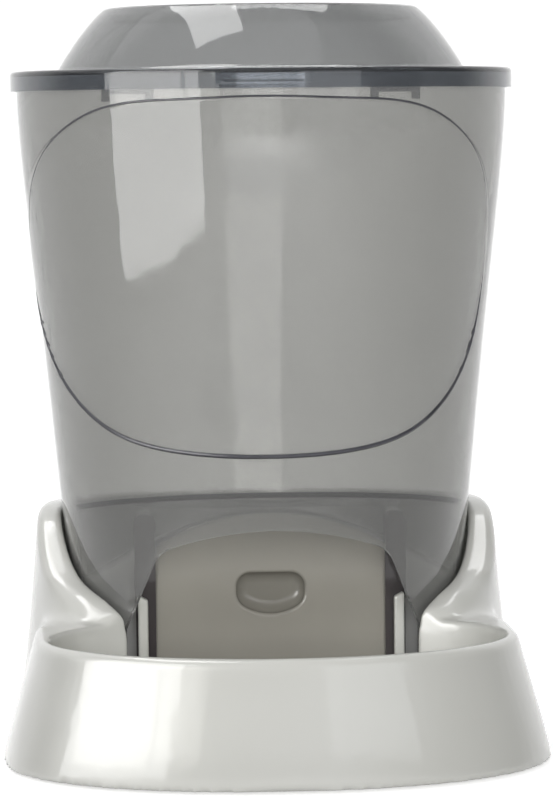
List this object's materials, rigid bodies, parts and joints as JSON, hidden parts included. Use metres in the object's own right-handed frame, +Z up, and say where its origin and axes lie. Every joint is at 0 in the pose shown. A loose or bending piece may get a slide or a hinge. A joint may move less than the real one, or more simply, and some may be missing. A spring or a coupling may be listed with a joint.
{
  "type": "gravity feeder",
  "caption": "Gravity feeder for dry food: a white base with an open bowl and a cradle, a smoked tapered hopper that lifts out, a lift-off lid and a sliding flow gate.",
  "frame": {"origin": "middle of the footprint, on the surface that the feet stand on", "axes": "+Z up, -Y towards the bowl, +X to the right seen from the bowl's side"},
  "size_m": [0.2043, 0.276, 0.2812],
  "materials": {
    "white_plastic": "glossy moulded white plastic",
    "hopper_smoke": "clear smoked grey plastic",
    "lid_smoke": "clear smoked grey plastic",
    "gate_smoke": "smoked grey plastic",
    "rail_smoke": "dark smoked plastic",
    "foot_rubber": "matt rubber"
  },
  "bodies": {
    "base": {"base_shell": "white_plastic", "foot_front_left": "foot_rubber", "foot_front_right": "foot_rubber", "foot_rear_left": "foot_rubber", "foot_rear_right": "foot_rubber"},
    "hopper": {"hopper": "hopper_smoke", "gate_rail_left": "rail_smoke", "gate_rail_right": "rail_smoke"},
    "gate": {"flow_gate": "gate_smoke"},
    "lid": {"lid": "lid_smoke"}
  },
  "joints": [
    {"name": "hopper_lift", "type": "slide", "parent": "base", "child": "hopper", "axis": [0, 0, 1], "range_m": [0, 0.1]},
    {"name": "lid_lift", "type": "slide", "parent": "hopper", "child": "lid", "axis": [0, 0, 1], "range_m": [0, 0.06]},
    {"name": "gate_slide", "type": "slide", "parent": "hopper", "child": "gate", "axis": [0, 0, 1], "range_m": [0, 0.02]}
  ]
}
